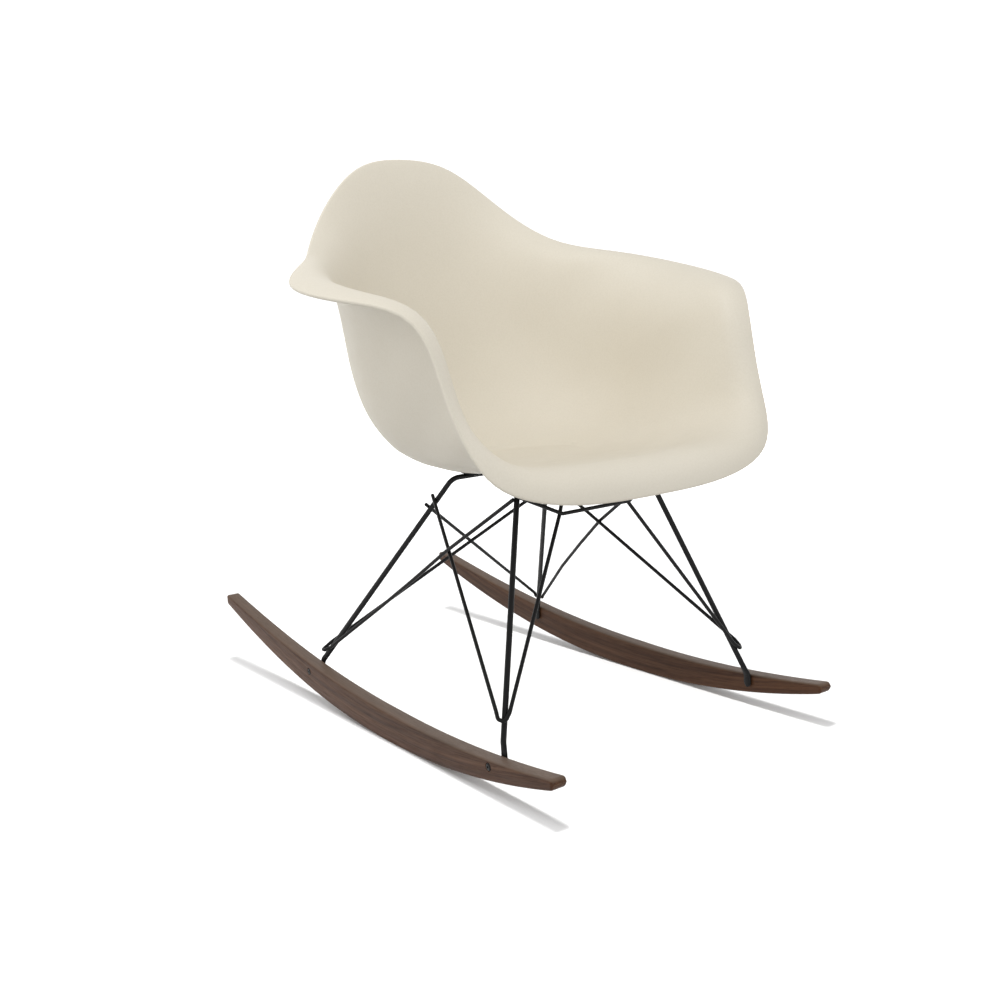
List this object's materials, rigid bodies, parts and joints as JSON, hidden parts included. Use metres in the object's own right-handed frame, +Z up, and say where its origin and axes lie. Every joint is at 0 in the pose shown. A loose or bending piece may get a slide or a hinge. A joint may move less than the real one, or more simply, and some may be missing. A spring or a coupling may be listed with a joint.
{
  "type": "rocking_chair",
  "caption": "Rocking armchair: a moulded plastic bucket seat with flared arms on a crossed-wire steel base that stands on two curved wooden rockers.",
  "frame": {"origin": "on the floor, under the middle of the chair's bounding box", "axes": "+Z up, the chair faces -Y, +X is the sitter's left"},
  "size_m": [0.6382, 0.866, 0.76],
  "materials": {
    "cream_plastic": "satin moulded",
    "black_coating": "satin powder coat",
    "black_steel": "satin black",
    "walnut": "matt oiled",
    "rubber": "matt"
  },
  "bodies": {
    "root": {"seat_shell": "cream_plastic", "rocker_right": "walnut", "rocker_left": "walnut", "leg_screw_front_right": "black_steel", "leg_screw_rear_right": "black_steel", "leg_screw_front_left": "black_steel", "leg_screw_rear_left": "black_steel", "front_brace_right": "black_coating", "front_brace_left": "black_coating", "rear_brace_right": "black_coating", "rear_brace_left": "black_coating", "front_crossbar": "black_coating", "leg_rod_front": "black_coating", "leg_rod_rear": "black_coating", "mounting_tab_front_right": "black_coating", "shock_mount_front_right": "rubber", "shell_screw_front_right": "black_steel", "mounting_tab_front_left": "black_coating", "shock_mount_front_left": "rubber", "shell_screw_front_left": "black_steel", "mounting_tab_rear_right": "black_coating", "shock_mount_rear_right": "rubber", "shell_screw_rear_right": "black_steel", "mounting_tab_rear_left": "black_coating", "shock_mount_rear_left": "rubber", "shell_screw_rear_left": "black_steel"}
  },
  "joints": []
}
